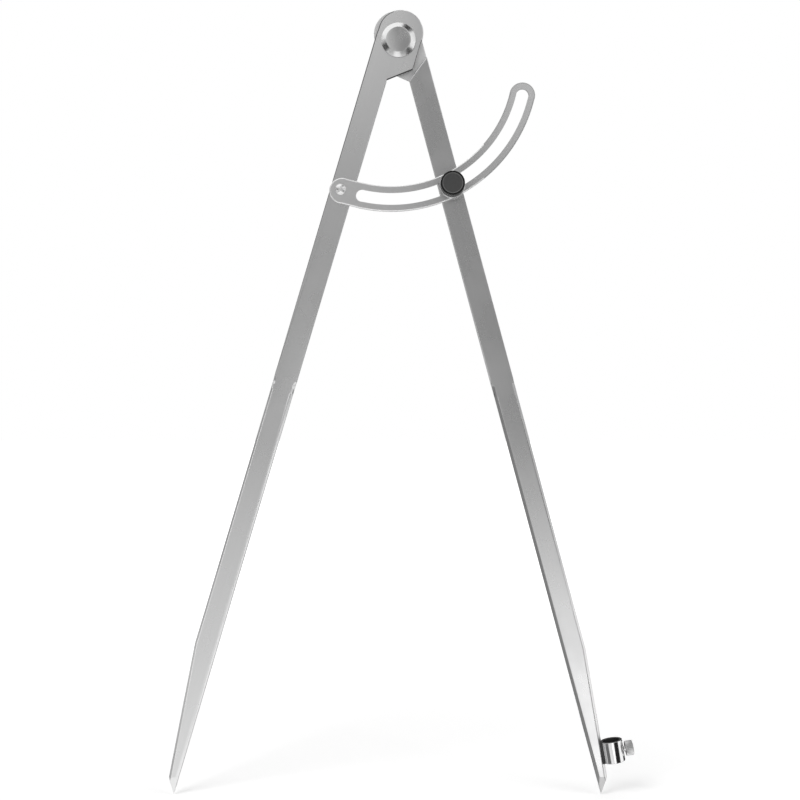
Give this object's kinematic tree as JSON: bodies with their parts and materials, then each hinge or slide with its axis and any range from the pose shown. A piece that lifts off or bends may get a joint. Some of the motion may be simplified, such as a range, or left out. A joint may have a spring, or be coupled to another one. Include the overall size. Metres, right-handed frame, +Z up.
{
  "type": "carpenter compass",
  "caption": "Carpenter compass with flat pointed legs on a riveted head, a slotted arc with a lock knob, and a clamp ring for a pencil.",
  "frame": {"origin": "on the pivot axis, halfway through the thickness of the legs", "axes": "+Z up as the compass stands on both points; -Y towards the front, where the knob is; +X towards the leg with the pencil ring"},
  "size_m": [0.233, 0.0183, 0.3928],
  "materials": {
    "leg_steel": "satin",
    "arc_steel": "satin",
    "polished_steel": "polished",
    "black_plastic": "satin",
    "brass": "turned",
    "chrome": "polished",
    "braze": "satin",
    "nickel": "knurled"
  },
  "bodies": {
    "left_leg": {"left_leg": "leg_steel", "pivot_rivet": "polished_steel", "pivot_washer": "leg_steel", "arc_rivet": "polished_steel"},
    "right_leg": {"right_leg": "leg_steel", "lock_stud": "polished_steel", "pencil_ring": "chrome", "ring_braze": "braze"},
    "quadrant_arc": {"quadrant_arc": "arc_steel"},
    "lock_washer": {"lock_washer": "polished_steel"},
    "lock_knob": {"lock_knob": "black_plastic", "knob_insert": "brass"},
    "screw_shank": {"screw_shank": "nickel"},
    "screw_head": {"screw_head": "nickel"}
  },
  "joints": [
    {"name": "leg_spread", "type": "hinge", "parent": "left_leg", "child": "right_leg", "pos_m": [0, 0, 0], "axis": [0, -1, 0], "range_deg": [-31.64, 38.5]},
    {"name": "arc_swing", "type": "hinge", "parent": "left_leg", "child": "quadrant_arc", "pos_m": [-0.02894, 0, -0.07501], "axis": [0, -1, 0], "range_deg": [-7.8, 6.3]},
    {"name": "knob_lift", "type": "slide", "parent": "right_leg", "child": "lock_washer", "axis": [0, -1, 0], "range_m": [0, 0.0014]},
    {"name": "knob_turn", "type": "hinge", "parent": "lock_washer", "child": "lock_knob", "pos_m": [0.0268, 0, -0.07295], "axis": [0, -1, 0], "range_deg": [0, 720]},
    {"name": "screw_feed", "type": "slide", "parent": "right_leg", "child": "screw_shank", "axis": [0.9865, 0, 0.164], "range_m": [-0.0009, 0.0008]},
    {"name": "screw_turn", "type": "hinge", "parent": "screw_shank", "child": "screw_head", "pos_m": [0.10742, 0, -0.35593], "axis": [0.9865, 0, 0.164], "range_deg": [-648, 576]}
  ],
  "couplings": [
    {"joint": "arc_swing", "follows": "leg_spread", "ratio": -0.199},
    {"joint": "knob_turn", "follows": "knob_lift", "rad_per_m": 8976},
    {"joint": "screw_turn", "follows": "screw_feed", "rad_per_m": 12566}
  ]
}
